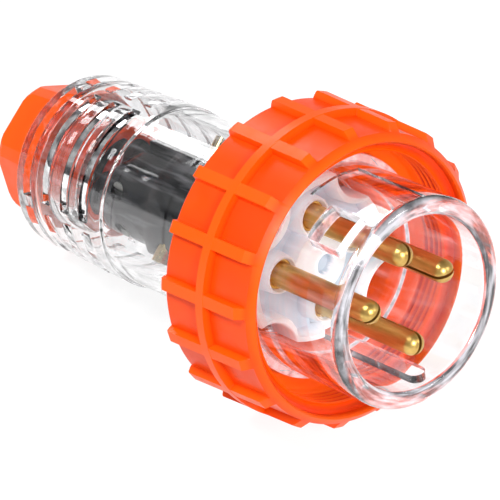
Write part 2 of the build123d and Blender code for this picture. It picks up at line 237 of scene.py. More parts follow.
class PlugSizes(bpy.types.PropertyGroup):
    """Sizes that shape the plug's surfaces without moving them off the solids."""

    rim_round: FloatProperty(
        name="Rim round", description="Radius of the clear rim's outer edge",
        default=1.9 * MM, unit="LENGTH")
    panel_depth: FloatProperty(
        name="Panel depth", description="Depth of the panel sunk into the shroud",
        default=0.45 * MM, unit="LENGTH")
    rib_height: FloatProperty(
        name="Rib height", description="Height of the ring's grip ribs",
        default=1.95 * MM, unit="LENGTH")
    thread_pitch: FloatProperty(
        name="Thread pitch", description="Advance of the ring's thread in a turn",
        default=1.75 * MM, unit="LENGTH")
    thread_depth: FloatProperty(
        name="Thread depth", description="Depth of the ring's thread",
        default=0.85 * MM, unit="LENGTH")
    groove_depth: FloatProperty(
        name="Groove depth", description="Depth of the windows in the grip",
        default=1.6 * MM, unit="LENGTH")
    stem_pitch: FloatProperty(
        name="Stem pitch", description="Advance of the gland's thread in a turn",
        default=1.5 * MM, unit="LENGTH")
    pin_sides: IntProperty(
        name="Pin sides", description="Faces round each contact pin",
        default=72, min=24)


class PlugFinishes(bpy.types.PropertyGroup):
    """Colours and gloss of the plug's materials."""

    orange: FloatVectorProperty(
        name="Orange", description="Colour of the ring and gland",
        subtype="COLOR", default=(0.96, 0.094, 0.001))
    # The deep orange is painted shade: it shows in the ring's recesses, the thread's root and the gland's
    # inner parts, with faint darker flow streaks
    orange_shade_and_streaks: FloatVectorProperty(
        name="Deep orange", description="Darker streaks in the orange",
        subtype="COLOR", default=(0.8, 0.036, 0.0))
    white: FloatVectorProperty(
        name="White", description="Colour of the pin carrier",
        subtype="COLOR", default=(0.93, 0.95, 0.97))
    dark: FloatVectorProperty(
        name="Dark", description="Colour of the terminal block",
        subtype="COLOR", default=(0.003, 0.004, 0.006))
    brass: FloatVectorProperty(
        name="Brass", description="Colour of the contact pins",
        subtype="COLOR", default=(0.8, 0.54, 0.17))
    brass_deep: FloatVectorProperty(
        name="Deep brass", description="Darker streaks in the brass",
        subtype="COLOR", default=(0.56, 0.34, 0.09))
    clear: FloatVectorProperty(
        name="Clear", description="Tint of the clear plastic",
        subtype="COLOR", default=(0.995, 0.995, 1.0))
    ring_gloss: FloatProperty(
        name="Ring roughness", description="Roughness of the orange plastic",
        default=0.36, min=0.0, max=1.0)
    light: FloatProperty(
        name="Light", description="Strength of the soft surround",
        default=0.4, min=0.0)


def direction(angle):
    """Unit vector across the plug's axis at an angle from +Y towards +Z."""
    return np.array([0.0, cos(radians(angle)), sin(radians(angle))])


def out_and_beside(angle):
    """Unit vectors across the plug's axis: outwards at an angle, and square to that."""
    outwards = direction(angle)
    return outwards, np.cross(outwards, AXIS)


def linked(name, data):
    """New object in the scene that shows the data."""
    item = bpy.data.objects.new(name, data)
    bpy.context.scene.collection.objects.link(item)
    return item


def turned_out(mesh, merge=0.0):
    """Turn a mesh's faces outwards, after joining the vertices that lie closer than merge, in metres."""
    work = bmesh.new()
    work.from_mesh(mesh)
    if merge:
        bmesh.ops.remove_doubles(work, verts=work.verts, dist=merge)
    bmesh.ops.recalc_face_normals(work, faces=work.faces)
    work.to_mesh(mesh)
    work.free()


def smoothed(mesh, crease=30.0):
    """Smooth a mesh where its faces meet below the crease angle."""
    mesh.polygons.foreach_set("use_smooth", [True] * len(mesh.polygons))
    mesh.set_sharp_from_angle(angle=radians(crease))


def new_object(name, vertices, faces, crease=30.0):
    """Mesh object from vertices in millimetres, smooth where its faces meet below the crease angle."""
    mesh = bpy.data.meshes.new(name)
    vertices = np.asarray(vertices, float) * MM
    mesh.from_pydata(vertices.tolist(), [], np.asarray(faces, int).tolist())
    mesh.validate()
    turned_out(mesh, 1e-7)
    smoothed(mesh, crease)
    return linked(name, mesh)


def settle(item, body, slot, nodes):
    """Give a piece its slot's material, the body it moves with and the solids it stands for."""
    item.data.materials.clear()
    item.data.materials.append(FINISHES[slot])
    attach(item, body)
    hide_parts(*nodes)


def rounded(points, radius, steps=4, closed=True):
    """Outline whose corners are arcs: each corner C with neighbours A and B becomes the quadratic curve
    (1-s)^2 P + 2 s (1-s) C + s^2 Q, where P and Q lie a radius from C towards A and B. An open outline
    keeps its two ends as they are."""
    points = [np.array(p, float) for p in points]
    out = []
    for i, corner in enumerate(points):
        if not closed and i in (0, len(points) - 1):
            out.append(corner[None, :])
            continue
        before, after = points[i - 1], points[(i + 1) % len(points)]
        gap_in, gap_out = np.linalg.norm(before - corner), np.linalg.norm(after - corner)
        cut = min(radius, gap_in * 0.45, gap_out * 0.45)
        start = corner + (before - corner) / gap_in * cut
        end = corner + (after - corner) / gap_out * cut
        s = np.linspace(0, 1, steps + 1)[:, None]
        out.append((1 - s) ** 2 * start + 2 * s * (1 - s) * corner + s ** 2 * end)
    return np.vstack(out)


def refined(line, longest):
    """Open outline with points added so that no side is longer than given."""
    out = []
    for start, end in zip(line[:-1], line[1:]):
        count = max(1, int(np.ceil(np.linalg.norm(end - start) / longest)))
        out.append(start + (end - start) * np.arange(count)[:, None] / count)
    return np.vstack(out + [line[-1:]])


def tagged(points, tag=0):
    """Outline points (x, r) with a third column that says which surface they lie on."""
    points = np.asarray(points, float)
    return np.hstack([points, np.full((len(points), 1), float(tag))])


def profile(x, r):
    """Outline points (x, r), where r may be one number for all."""
    return np.stack([x, r + 0 * x], -1)


def rectangle(start, end, half):
    """Corners of a rectangle from start to end, as wide as half to both sides."""
    return [(start, -half), (end, -half), (end, half), (start, half)]


def turned(name, loop, angles, offset=None, crease=30.0):
    """Surface of revolution of a closed outline (x, r, tag) about the plug's axis:
    P(i, a) = (x_i, (r_i + offset) cos a, (r_i + offset) sin a), the offset a function of x, r, tag and a."""
    x, r, tag = (loop[:, k][:, None] for k in range(3))
    turn = np.asarray(angles, float)[None, :]
    a = np.radians(turn)
    radius = r + (offset(x, r, tag, turn) if offset else 0.0) + 0 * a
    points = np.stack([x + 0 * a, radius * np.cos(a), radius * np.sin(a)], -1)
    return new_object(name, points.reshape(-1, 3), grid_faces(*points.shape[:2]), crease)


def paint_light_and_shade(item, tone):
    """Store on each vertex how much light or shade is painted on it, worked out from its x, its distance from
    the axis and its place.
    """
    points = np.empty(len(item.data.vertices) * 3, "f")
    item.data.vertices.foreach_get("co", points)
    points = points.reshape(-1, 3) / MM
    painted_light = tone(points[:, 0], np.hypot(points[:, 1], points[:, 2]), points)
    item.data.attributes.new("painted_light", "FLOAT", "POINT").data.foreach_set("value", painted_light.astype("f"))


def grid_faces(rows, columns, wrap_rows=True):
    """Four-sided faces of a grid that closes on itself across its columns, and across its rows if asked."""
    index = np.arange(rows * columns).reshape(rows, columns)
    faces = np.stack(
        [index, np.roll(index, -1, 1), np.roll(np.roll(index, -1, 0), -1, 1), np.roll(index, -1, 0)], -1
    )
    return faces.reshape(-1, 4) if wrap_rows else faces[:-1].reshape(-1, 4)


def even_angles(count):
    """Evenly spaced angles round a full turn, in degrees."""
    return np.arange(count) * 360.0 / count


def edged_angles(edges, step):
    """Angles round a full turn that include every edge, with no gap wider than the step."""
    edges = np.unique(np.round(np.mod(edges, 360.0), 6))
    gaps = np.diff(np.append(edges, edges[0] + 360.0))
    counts = np.maximum(1, np.ceil(gaps / step).astype(int))
    return np.concatenate([e + g * np.arange(c) / c for e, g, c in zip(edges, gaps, counts)])


def ramp(value, start, end):
    """0 before start, 1 past end and a straight slope between."""
    return np.clip((value - start) / (end - start), 0.0, 1.0)


def plateau(value, low, high, slope):
    """1 between low and high, falling to 0 over the slope outside them."""
    return np.minimum(ramp(value, low - slope, low), 1.0 - ramp(value, high, high + slope))


def soft(value, start, end):
    """0 before start, 1 past end and the smooth curve 3 t^2 - 2 t^3 between."""
    t = ramp(value, start, end)
    return t * t * (3 - 2 * t)


def apart(angle, centre):
    """Signed difference between two angles in degrees, from -180 to 180."""
    return np.mod(angle - centre + 180.0, 360.0) - 180.0


def near(value, full, none):
    """1 where a value is within full of 0, falling to 0 where it is beyond none."""
    return 1 - ramp(np.abs(value), full, none)


def crest(x, angle, pitch):
    """0 in the root of a thread and 1 on its crest: 0.5 - 0.5 cos(2 pi (x / pitch - angle / 360))."""
    return 0.5 - 0.5 * np.cos(2 * pi * (x / pitch - angle / 360.0))


def prism(name, outline, origin, angle, height):
    """Closed prism: an outline in the plane along the plug's axis and square to an angle's direction,
    pushed out by a height in that direction."""
    outwards, beside = out_and_beside(angle)
    outline = np.asarray(outline, float)
    base = origin + outline[:, :1] * AXIS + outline[:, 1:2] * beside
    count = len(base)
    ring = np.arange(count)
    step = np.roll(ring, -1)
    sides = np.stack([ring, step, count + step, count + ring], -1).tolist()
    mesh = bpy.data.meshes.new(name)
    points = np.vstack([base, base + outwards * height]) * MM
    mesh.from_pydata(points.tolist(), [], [ring[::-1].tolist(), (count + ring).tolist()] + sides)
    turned_out(mesh)
    return linked(name, mesh)


def combine(item, tool, operation):
    """Apply a boolean with a tool object, then remove the tool."""
    change = item.modifiers.new("shape", "BOOLEAN")
    change.object = tool
    change.operation = operation
    change.solver = "EXACT"
    graph = bpy.context.evaluated_depsgraph_get()
    mesh = bpy.data.meshes.new_from_object(item.evaluated_get(graph))
    item.modifiers.clear()
    item.data = mesh
    bpy.data.objects.remove(tool, do_unlink=True)
    smoothed(mesh)


def bored(item, x, angle, shift, radius, floor):
    """Sink a round hole into a piece from outside, down to a floor at a distance from the axis."""
    turn = np.radians(even_angles(48))
    outline = np.stack([x + radius * np.cos(turn), shift + radius * np.sin(turn)], -1)
    combine(item, prism("bore_tool", outline, direction(angle) * floor, angle, 40), "DIFFERENCE")


def node_material(name):
    """New material with one surface shader and an object-space place to draw patterns on."""
    material = FINISHES[name] = bpy.data.materials.new(name)
    material.use_nodes = True
    tree = material.node_tree
    where = tree.nodes.new("ShaderNodeTexCoord")
    return tree, tree.nodes["Principled BSDF"], where.outputs["Object"]


def feed(node, values):
    """Set a node's inputs by name, each to a value or to another node's output."""
    for name, value in values.items():
        if isinstance(value, bpy.types.NodeSocket):
            node.id_data.links.new(value, node.inputs[name])
        else:
            node.inputs[name].default_value = value


def maths(tree, operation, *values, clamp=False):
    """Result of a maths step on node outputs, held between 0 and 1 if asked."""
    step = tree.nodes.new("ShaderNodeMath")
    step.operation = operation
    step.use_clamp = clamp
    for value, socket in zip(values, step.inputs):
        tree.links.new(value, socket)
    return step.outputs["Value"]


def parts_of(tree, place):
    """A place's three parts, by the names X, Y and Z."""
    parts = tree.nodes.new("ShaderNodeSeparateXYZ")
    feed(parts, {"Vector": place})
    return parts.outputs


def painted_light_of(tree):
    """The amount of painted light and shade stored on the mesh's vertices."""
    mark = tree.nodes.new("ShaderNodeAttribute")
    mark.attribute_name = "painted_light"
    return mark.outputs["Fac"]


def noise(tree, place, scale, detail=3.0):
    """Noise texture at a scale, in cycles per metre."""
    texture = tree.nodes.new("ShaderNodeTexNoise")
    feed(texture, {"Vector": place, "Scale": scale, "Detail": detail})
    return texture.outputs["Fac"]


def stretched(tree, place, along, across):
    """Object place scaled along and across the plug's axis, which draws a pattern out."""
    change = tree.nodes.new("ShaderNodeMapping")
    feed(change, {"Vector": place, "Scale": (along, across, across)})
    return change.outputs["Vector"]


def from_axis(tree, place):
    """Distance of a place from the plug's axis."""
    length = tree.nodes.new("ShaderNodeVectorMath")
    length.operation = "LENGTH"
    tree.links.new(stretched(tree, place, 0.0, 1.0), length.inputs[0])
    return length.outputs["Value"]


def banded(tree, place):
    """Object place turned so that a pattern draws out round the plug's axis: (x + r, 0.15 y, 0.15 z)."""
    parts = parts_of(tree, stretched(tree, place, 1.0, 0.15))
    whole = tree.nodes.new("ShaderNodeCombineXYZ")
    total = maths(tree, "ADD", parts["X"], from_axis(tree, place))
    feed(whole, {"X": total, "Y": parts["Y"], "Z": parts["Z"]})
    return whole.outputs["Vector"]


def spread(tree, value, low, high, start=0.3, end=0.7):
    """Map the middle of a noise value onto a range."""
    change = tree.nodes.new("ShaderNodeMapRange")
    feed(change, {"Value": value, "From Min": start, "From Max": end, "To Min": low, "To Max": high})
    return change.outputs["Result"]


def tint(tree, value, dark, light):
    """Colour between two colours by a value."""
    mix = tree.nodes.new("ShaderNodeMix")
    mix.data_type = "RGBA"
    feed(mix, {"Factor": value, "A": (*dark, 1), "B": (*light, 1)})
    return mix.outputs["Result"]


def relief(tree, shader, value, strength, distance):
    """Fine relief from a height value, in metres."""
    bump = tree.nodes.new("ShaderNodeBump")
    feed(bump, {"Height": value, "Strength": strength, "Distance": distance})
    feed(shader, {"Normal": bump.outputs["Normal"]})


def moulded(name, dark, light, rough_low, rough_high, specular=0.35, grain=1800.0, raised=False,
            painted_glow=0.0, bore_painted_glow=0.0):
    """Opaque moulded plastic with faint flow marks, a fine grain and a varying gloss. Raised plastic also
    takes painted
    light and shade stored on the mesh: the light colour where the stored value is high, the dark colour where
    it is low.
    Painted light is added as emission in the plastic's own colour, though the plastic is no lamp: a painted
    glow evenly all over, or up to the bore strength inside the locking ring alone, brightest on the thread's
    crests."""
    tree, shader, place = node_material(name)
    flow = noise(tree, stretched(tree, place, 0.5, 1.0), 90.0)
    tone = spread(tree, flow, 0.0, 0.3 if raised else 1.0)
    # Painted light and shade: the value stored on the mesh lightens or darkens the colour
    if raised:
        tone = maths(tree, "ADD", tone, painted_light_of(tree), clamp=True)
    colour = tint(tree, tone, dark, light)
    # Painted light in the ring's bore: emission inside the land, fading out towards the rear, brightest on
    # the thread's crests
    if bore_painted_glow:
        bore, rear = RING_LAND * MM, RING_REAR * MM
        inside = spread(tree, from_axis(tree, place), bore_painted_glow, 0.0, bore - MM, bore)
        ahead = spread(tree, parts_of(tree, place)["X"], 0.0, 1.0, rear, rear + 8 * MM)
        crests = spread(tree, painted_light_of(tree), 0.1, 1.0, 0.2, 0.9)
        painted_glow = maths(tree, "MULTIPLY", maths(tree, "MULTIPLY", inside, ahead), crests)
    roughness = spread(tree, noise(tree, place, 260.0), rough_low, rough_high)
    feed(shader, {"Base Color": colour, "Emission Color": colour, "Emission Strength": painted_glow,
                  "Roughness": roughness, "Specular IOR Level": specular})
    relief(tree, shader, noise(tree, place, grain), 0.25, 0.00001)


def clear_plastic(colour):
    """Clear moulded plastic with soft ripples left by the mould. It carries painted light, given off as a
    pale emission
    though it is no lamp: painted highlights in streaks round the rim, a painted glow in patches on the edges
    marked on the mesh, and faint painted lines along the walls."""
    tree, shader, place = node_material("clear_housing")
    flow = spread(tree, noise(tree, place, 60.0), 0.0, 1.0)
    faint = tuple(c * 0.985 for c in colour)
    # Painted light: emission fading in towards the rim, streaked round the axis, plus painted patches on the
    # marked edges and faint painted lines along the walls
    glow_start, glow_full = (RIM_X - RIM_PAINTED_GLOW_DEPTH) * MM, (RIM_X - 0.2) * MM
    rim = spread(tree, parts_of(tree, place)["X"], 0.0, 1.0, glow_start, glow_full)
    streaks = spread(tree, noise(tree, banded(tree, place), 800.0, 4.0), 0.1, 0.95, 0.4, 0.64)
    painted_edge_patches = spread(tree, noise(tree, place, 500.0), 0.2, 0.62)
    painted_wall_lines = noise(tree, stretched(tree, place, 0.12, 1.0), 420.0, 2.0)
    painted_wall_lines = spread(tree, painted_wall_lines, 0.0, 0.1, 0.56, 0.7)
    edges = maths(tree, "MULTIPLY_ADD", painted_light_of(tree), painted_edge_patches, painted_wall_lines)
    feed(shader, {
        "Base Color": tint(tree, flow, faint, colour),
        "Roughness": spread(tree, noise(tree, place, 300.0), 0.0, 0.006),
        "Transmission Weight": 1.0, "IOR": 1.38, "Coat Weight": 0.6, "Coat Roughness": 0.02,
        # pale colour of the painted light
        "Emission Color": (0.86, 0.84, 0.9, 1),
        "Emission Strength": maths(tree, "MULTIPLY_ADD", rim, streaks, edges),
    })
    relief(tree, shader, noise(tree, stretched(tree, place, 0.35, 1.0), 150.0, 2.0), 0.1, 0.0001)


def turned_metal(name, dark, light, rough_low, rough_high, along=0.12):
    """Drawn or turned metal: streaks of tone and fine marks drawn out along the plug's axis."""
    tree, shader, place = node_material(name)
    drawn = stretched(tree, place, along, 1.0)
    tone = spread(tree, noise(tree, drawn, 700.0, 5.0), 0.0, 1.0)
    roughness = spread(tree, noise(tree, drawn, 500.0), rough_low, rough_high)
    feed(shader, {"Base Color": tint(tree, tone, dark, light), "Roughness": roughness, "Metallic": 1.0})
    relief(tree, shader, noise(tree, drawn, 2200.0), 0.3, 0.00002)


class PLUG_OT_finishes(bpy.types.Operator):
    """Make every material and give each carried-over solid the one of its slot"""

    bl_idname = "plug.finishes"
    bl_label = "Make finishes"

    def execute(self, context):
        colours = context.scene.plug_finishes
        gloss = colours.ring_gloss
        clear_plastic(tuple(colours.clear))
        # The orange takes painted shade in its recesses and the thread's root, and painted light in the
        # ring's bore
        moulded("orange_plastic", tuple(colours.orange_shade_and_streaks), tuple(colours.orange),
                gloss - 0.05, gloss + 0.06, 0.2, raised=True, bore_painted_glow=BORE_PAINTED_GLOW)
        white = tuple(colours.white)
        # The pocket colour is painted shade for the carrier's pockets and hub hole
        pocket_shade = tuple(c * share for c, share in zip(white, POCKET_PAINTED_SHADE))
        # The white plastic gives off a painted glow, though it is no lamp
        moulded("white_plastic", pocket_shade, white, 0.4, 0.52, raised=True, painted_glow=CARRIER_PAINTED_GLOW)
        dark = tuple(colours.dark)
        moulded("dark_plastic", dark, tuple(c * 1.5 for c in dark), 0.1, 0.2, 0.5)
        turned_metal("pin_brass", tuple(colours.brass_deep), tuple(colours.brass), 0.32, 0.46)
        turned_metal("screw_brass", (0.55, 0.42, 0.2), (0.72, 0.58, 0.34), 0.2, 0.34, 1.0)
        turned_metal("plated_screw", (0.2, 0.21, 0.2), (0.32, 0.33, 0.31), 0.3, 0.45, 1.0)
        turned_metal("washer_steel", (0.5, 0.5, 0.52), (0.62, 0.62, 0.64), 0.25, 0.4, 1.0)
        moulded("seal_rubber", (0.012, 0.012, 0.013), (0.03, 0.03, 0.032), 0.55, 0.75, grain=1400.0)
        moulded("grommet_rubber", (0.014, 0.014, 0.015), (0.034, 0.034, 0.036), 0.5, 0.7, grain=1400.0)
        for part in frame["record"]["subparts"]:
            data = frame["nodes"][part["node"]].data
            data.materials.clear()
            data.materials.append(FINISHES[part["material_slot"]])
        return {"FINISHED"}


class PLUG_OT_shroud(bpy.types.Operator):
    """Clear stepped tube with a sunk panel, a window and a key"""

    bl_idname = "plug.shroud"
    bl_label = "Build clear shroud"

    def execute(self, context):
        sizes = context.scene.plug_sizes
        edge = sizes.rim_round / MM
        inside = rounded(
            [(SHROUD_REAR, NECK_BORE), (CARRIER_REAR, NECK_BORE), (CARRIER_REAR, SHROUD_BORE),
             (RIM_X - RIM_INNER_ROUND, SHROUD_BORE)], 0.4, closed=False)[:-1]
        arc = np.linspace(0, pi / 2, 11)
        lip = profile(RIM_X - RIM_INNER_ROUND * (1 - np.sin(arc)),
                      SHROUD_BORE + RIM_INNER_ROUND * (1 - np.cos(arc)))
        rim = profile(RIM_X - edge + edge * np.cos(arc), SHROUD_RADIUS - edge + edge * np.sin(arc))
        bend = 0.15
        stops = [PANEL_FRONT + bend, PANEL_FRONT - bend, PANEL_REAR + bend, PANEL_REAR - bend]
        lengths = np.arange(RIM_X - edge - 1.0, FLANGE_FRONT + 0.8, -1.2)
        outer = profile(np.unique(np.concatenate([lengths, stops]))[::-1], SHROUD_RADIUS)
        behind = rounded(
            [(FLANGE_FRONT + 0.5, SHROUD_RADIUS), (FLANGE_FRONT, SHROUD_RADIUS),
             (FLANGE_FRONT, FLANGE_RADIUS), (FLANGE_REAR, FLANGE_RADIUS), (FLANGE_REAR, NECK_RADIUS),
             (SHROUD_REAR, NECK_RADIUS)], 0.45, closed=False)
        inside = refined(np.vstack([inside, lip]), 1.5)
        loop = np.vstack([tagged(inside), tagged(rim), tagged(outer, 1), tagged(refined(behind, 1.5))])
        slope = 0.25
        cuts = [90 - PANEL_HALF_ANGLE, 90 + PANEL_HALF_ANGLE]
        angles = edged_angles([c + d for c in cuts for d in (-slope, slope)] + [180, 270, 0], 1.25)

        def panel(x, r, tag, angle):
            """Minus the panel's depth inside its outline on the outer wall, and nothing elsewhere."""
            half = PANEL_HALF_ANGLE - slope
            across = plateau(apart(angle, 90.0), -half, half, 2 * slope)
            length = plateau(x, PANEL_REAR + bend, PANEL_FRONT - bend, 2 * bend)
            return -sizes.panel_depth / MM * (tag == 1) * across * length

        shroud = turned("shroud_clear", loop, angles, panel)
        half_x, half_y = (WINDOW_FRONT - WINDOW_REAR) / 2, WINDOW_WIDTH / 2
        outline = rounded(rectangle(-half_x, half_x, half_y), 0.7, 6)
        outwards, beside = out_and_beside(WINDOW_ANGLE)
        start = np.array([(WINDOW_FRONT + WINDOW_REAR) / 2, 0, 0]) + outwards * WINDOW_CUT
        cutter = prism("window_cutter", outline, start, WINDOW_ANGLE, WINDOW_CUT)
        combine(shroud, cutter, "DIFFERENCE")
        half = KEY_WIDTH / 2
        turn = np.linspace(-pi / 2, pi / 2, 17)
        nose = np.stack([KEY_FRONT - half + half * np.cos(turn), half * np.sin(turn)], -1)
        outline = np.vstack([[(CARRIER_REAR, -half)], nose, [(CARRIER_REAR, half)]])
        base = direction(KEY_ANGLE) * (SHROUD_BORE - KEY_HEIGHT)
        combine(shroud, prism("key_tool", outline, base, KEY_ANGLE, KEY_HEIGHT + 1), "UNION")

        def edges(x, r, points):
            """Painted light: a glow painted on the window's walls, the sides of the key and the flange's
            front edge.
            """
            window = np.maximum(np.abs(x - start[0]) - half_x, np.abs(points @ beside) - half_y)
            window = near(window, 0.1, 0.35) * (points @ outwards > WINDOW_CUT)
            key = near(np.abs(points[:, 1]) - half, 0.05, 0.3) * (x < KEY_FRONT + 0.1)
            key = 0.35 * key * (r < SHROUD_BORE - 0.05) * (points[:, 2] < 0)
            flange = near(x - FLANGE_FRONT, 0.3, 0.8) * (r > SHROUD_RADIUS - 0.3)
            return np.maximum.reduce([window, flange, key])

        paint_light_and_shade(shroud, edges)
        settle(shroud, "housing", "clear_housing", ["shroud"])
        return {"FINISHED"}


class PLUG_OT_handle(bpy.types.Operator):
    """Clear shell with four rows of sunk windows divided by ribs along the grip"""

    bl_idname = "plug.handle"
    bl_label = "Build clear handle"

    def execute(self, context):
        depth = context.scene.plug_sizes.groove_depth / MM
        slope = 0.5
        flange_end = GRIP_FRONT - GRIP_FLANGE
        fronts = flange_end - GROOVE_PITCH * np.arange(GROOVE_COUNT)
        edges = (fronts[:, None] - [0, slope, GROOVE_WIDTH - slope, GROOVE_WIDTH]).ravel()
        lengths = np.arange(flange_end - 0.6, HANDLE_REAR + 1.6, -1.2)
        lengths = np.unique(np.concatenate([lengths, edges]))[::-1]
        wall = np.interp(lengths, [HANDLE_REAR, flange_end], [GRIP_REAR_RADIUS, GRIP_RADIUS])
        seam, inside = SHROUD_REAR - 0.1, NECK_RADIUS + 0.1
        front = rounded(
            [(seam, inside), (HANDLE_FRONT, inside), (HANDLE_FRONT, HANDLE_RADIUS),
             (GRIP_FRONT, HANDLE_RADIUS), (GRIP_FRONT - 0.3, GRIP_RADIUS), (flange_end, GRIP_RADIUS)],
            0.5, closed=False)
        shelf, collar = HANDLE_REAR + HANDLE_WALL, COLLAR_BORE + COLLAR_WALL
        rear = rounded(
            [(HANDLE_REAR + 1.2, GRIP_REAR_RADIUS), (HANDLE_REAR, GRIP_REAR_RADIUS),
             (HANDLE_REAR, COLLAR_BORE), (STEM_FRONT, COLLAR_BORE), (STEM_FRONT, collar),
             (shelf, collar + 0.8), (shelf, HANDLE_BORE), (seam, HANDLE_BORE)], 0.6, closed=False)
        loop = np.vstack([
            tagged(refined(front, 1.6)), tagged(profile(lengths, wall), 1), tagged(refined(rear, 1.6))])
        half = degrees(asin(AXIAL_RIB_WIDTH / 2 / GRIP_RADIUS))
        ease = 0.6
        centres = even_angles(4)
        angles = edged_angles([c + d for c in centres for d in (-half - ease, -half, half, half + ease)], 1.5)

        def windows(x, r, tag, angle):
            """Minus the windows' depth: rows along the grip, each cut by the four axial ribs."""
            rows = [plateau(x, f - GROOVE_WIDTH + slope, f - slope, slope) for f in fronts]
            ribs = np.maximum.reduce([plateau(apart(angle, c), -half, half, ease) for c in centres])
            return -depth * (tag == 1) * np.maximum.reduce(rows) * (1 - ribs)

        settle(turned("handle_clear", loop, angles, windows), "housing", "clear_housing", ["handle_body"])
        return {"FINISHED"}


class PLUG_OT_ring(bpy.types.Operator):
    """Locking ring: ribs and a band outside, a coarse thread and a round shoulder inside"""

    bl_idname = "plug.ring"
    bl_label = "Build locking ring"

    def execute(self, context):
        sizes = context.scene.plug_sizes
        front, rear = RING_FRONT, RING_REAR
        height, pitch, depth = sizes.rib_height / MM, sizes.thread_pitch / MM, sizes.thread_depth / MM
        rib_start = front - RING_BEVEL
        stops = [rib_start, rib_start - 0.15, rib_start - RIB_CHAMFER, rib_start - RIB_CHAMFER - 0.3]
        stops += [rear + d for d in (0, 0.08, 0.25, 0.5, 0.8)]
        band_edges = (BAND_X + BAND_WIDTH / 2, BAND_X - BAND_WIDTH / 2)
        stops += [e + d for e in band_edges for d in (-0.3, -0.12, 0, 0.12, 0.3)]
        lengths = np.concatenate([
            stops, np.arange(rib_start - 0.6, rib_start - RIB_CHAMFER, -0.4),
            np.arange(PLAIN_ROWS_FRONT, band_edges[0] + 0.5, -1.6),
            np.arange(PLAIN_ROWS_REAR, rear + 1, -1.6)])
        lengths = np.unique(np.round(lengths, 4))[::-1]

        def wall(x):
            """Radius of the ring's wall between its ribs."""
            return np.interp(x, [rear, rib_start], [RING_RADIUS, RING_FRONT_RADIUS])

        outside = profile(lengths, wall(lengths))
        core_end = rear + CORE_DEPTH
        rear_side = rounded(
            [(rear, RING_RADIUS), (rear, CORE_OUTER), (core_end, CORE_OUTER), (core_end, CORE_INNER),
             (rear, CORE_INNER), (rear, RING_WEB_BORE), (RING_WEB_X, RING_WEB_BORE),
             (RING_WEB_X, RING_SHOULDER), (SHOULDER_REAR, RING_SHOULDER)], 0.4, closed=False)[1:-1]
        s = np.linspace(0, 1, 13)
        rise = RING_SHOULDER + (RING_BORE - RING_SHOULDER) * (3 * s ** 2 - 2 * s ** 3)
        shoulder = profile(SHOULDER_REAR + (SHOULDER_FRONT - SHOULDER_REAR) * s, rise)
        bore = profile(np.arange(THREAD_REAR - 0.3, THREAD_FRONT + 0.3, pitch / 12), RING_BORE)
        mouth = rounded(
            [(THREAD_FRONT - 0.9, RING_BORE), (-RING_LAND_DEPTH, RING_LAND - 0.8),
             (-RING_LAND_DEPTH, RING_LAND), (-0.5, RING_LAND), (0, RING_MOUTH),
             (rib_start, RING_FRONT_RADIUS)], 0.2, closed=False)[:-1]
        loop = np.vstack([
            tagged(outside, 1), tagged(rear_side), tagged(shoulder), tagged(bore, 2), tagged(mouth)])
        half = degrees(RIB_WIDTH / 2 / RING_RADIUS)
        ease = 0.3
        centres = RIB_PHASE + even_angles(RIB_COUNT)
        offsets = (-half - ease, -half - ease / 2, -half, half, half + ease / 2, half + ease)
        angles = edged_angles([c + d for c in centres for d in offsets], 1.8)

        def ribs_and_thread(x, r, tag, angle):
            """On the wall, the larger of the band's height and the ribs' height, whose front slopes; on the
            bore, depth times (0.5 - 0.5 cos(2 pi (x / pitch - angle / 360)))^0.6, faded at both ends."""
            nearest = apart(angle * RIB_COUNT, RIB_PHASE * RIB_COUNT) / RIB_COUNT
            rib = plateau(nearest, -half, half, ease)
            rise = height * ramp(rib_start - x, 0.0, RIB_CHAMFER)
            rise = rise * np.sqrt(np.clip(1 - (1 - ramp(x, rear, rear + 0.8)) ** 2, 0.25, 1))
            band = (BAND_TOP - r) * plateau(x, band_edges[1] + 0.12, band_edges[0] - 0.12, 0.24)
            edge = -0.15 * (1 - ramp(x, rear, rear + 0.25))
            fade = plateau(x, THREAD_REAR + 0.8, THREAD_FRONT - 0.6, 0.6)
            thread = fade * depth * crest(x, angle, pitch) ** 0.6
            return (tag == 1) * (np.maximum(band, rise * rib) + edge) + (tag == 2) * thread

        ring = turned("ring_orange", loop, angles, ribs_and_thread, 35.0)

        def tone(x, r, points):
            """Painted light and shade: light on the ribs, the front bevel and the thread's crests, painted
            shade on the wall between the ribs, on parts of the ring's inside and in the thread's root.
            """
            outside = np.where(x > rib_start + 0.05, 1.0, ramp(r, wall(x) - 0.6, wall(x) + 1.3))
            thread = 1 - ramp(r, RING_BORE, RING_BORE + depth * 0.7)
            return np.maximum(outside * (r > RING_MOUTH - 0.6), thread)

        paint_light_and_shade(ring, tone)
        settle(ring, "ring", "orange_plastic", ["locking_ring"])
        return {"FINISHED"}


